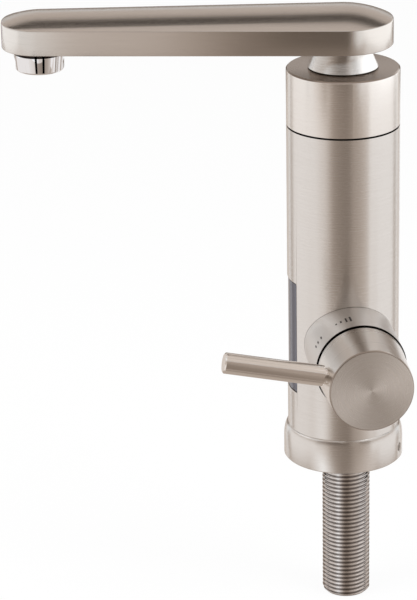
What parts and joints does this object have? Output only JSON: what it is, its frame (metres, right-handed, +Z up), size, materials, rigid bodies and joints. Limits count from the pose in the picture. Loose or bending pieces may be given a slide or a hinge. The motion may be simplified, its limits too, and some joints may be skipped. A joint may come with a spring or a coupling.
{
  "type": "instant water heater tap",
  "caption": "Deck-mounted electric instant hot water tap: round heated body, swivelling flat spout with aerator, side lever valve, display window and threaded shank.",
  "frame": {"origin": "centre of the foot's underside, on the worktop", "axes": "+Z up along the body axis; the display faces -Y; the valve and its lever hub point along +X"},
  "size_m": [0.131, 0.2046, 0.3275],
  "materials": {
    "brushed_body": "fine brushing round the body",
    "brushed_spout": "fine brushing along the spout",
    "turned_hub": "turned face with fine rings",
    "chrome": "polished",
    "thread_steel": "cut thread",
    "brass": "machined",
    "rubber": "matt",
    "screw_steel": "plain",
    "dark_steel": "blackened",
    "lens": "smoked, glossy",
    "dark_plastic": "moulded",
    "grey_plastic": "moulded",
    "white_plastic": "moulded",
    "blue_plastic": "moulded",
    "board": "lacquered board",
    "ceramic": "polished ceramic",
    "wires": "insulated wire",
    "tank_steel": "drawn",
    "element": "heat-tinted"
  },
  "bodies": {
    "body": {"base_gasket": "rubber", "shank": "thread_steel", "foot_ring": "brushed_body", "foot_set_screw": "dark_steel", "cable_gland": "rubber", "mains_wires": "wires", "terminal_block": "white_plastic", "inlet_pipe": "brass", "inlet_o_ring": "rubber", "flow_switch": "white_plastic", "piston_spring": "screw_steel", "valve_housing": "brass", "valve_seals": "rubber", "ceramic_seat": "ceramic", "cartridge_body": "dark_plastic", "cartridge_nut": "brass", "valve_collar": "brushed_body", "collar_ring": "dark_plastic", "body_shell": "brushed_body", "display_lens": "lens", "display_bezel": "dark_plastic", "display_board": "board", "display_screws": "screw_steel", "led_module": "dark_plastic", "chassis": "grey_plastic", "control_board": "board", "power_relay": "blue_plastic", "heating_tank": "tank_steel", "tank_gasket": "rubber", "tank_lid": "tank_steel", "lid_screws": "screw_steel", "heating_element": "element", "temperature_probe": "white_plastic", "thermal_cutout": "dark_plastic", "feed_pipe": "brass", "outlet_pipe": "brass", "swivel_socket": "brass", "groove_ring": "dark_plastic", "cap_shell": "brushed_body", "swivel_washer": "white_plastic", "swivel_nut": "brass"},
    "spout": {"swivel_spigot": "brass", "spigot_o_rings": "rubber", "spout_neck": "brushed_spout", "spout_tray": "brushed_spout", "spout_nut": "brass", "spout_elbow": "white_plastic", "spout_tube": "white_plastic", "spout_cover": "brushed_spout", "aerator_adapter": "brass", "aerator_gasket": "rubber", "aerator_insert": "white_plastic", "aerator_collar": "chrome"},
    "lever": {"valve_stem": "screw_steel", "ceramic_disc": "ceramic", "lever_hub": "turned_hub", "hub_set_screw": "screw_steel", "hub_plug": "turned_hub", "lever_rod": "turned_hub"},
    "piston": {"flow_piston": "dark_plastic"}
  },
  "joints": [
    {"name": "spout_swivel", "type": "hinge", "parent": "body", "child": "spout", "pos_m": [0, 0, 0.2], "axis": [0, 0, 1], "continuous": true},
    {"name": "lever_turn", "type": "hinge", "parent": "body", "child": "lever", "pos_m": [0.074, 0, 0.0697], "axis": [1, 0, 0], "range_deg": [-45, 45]},
    {"name": "flow_piston_slide", "type": "slide", "parent": "body", "child": "piston", "axis": [0, 0, 1], "range_m": [0, 0.003], "stiffness_N_per_m": 60, "springref_m": -0.003, "deforming": ["piston_spring"]}
  ]
}
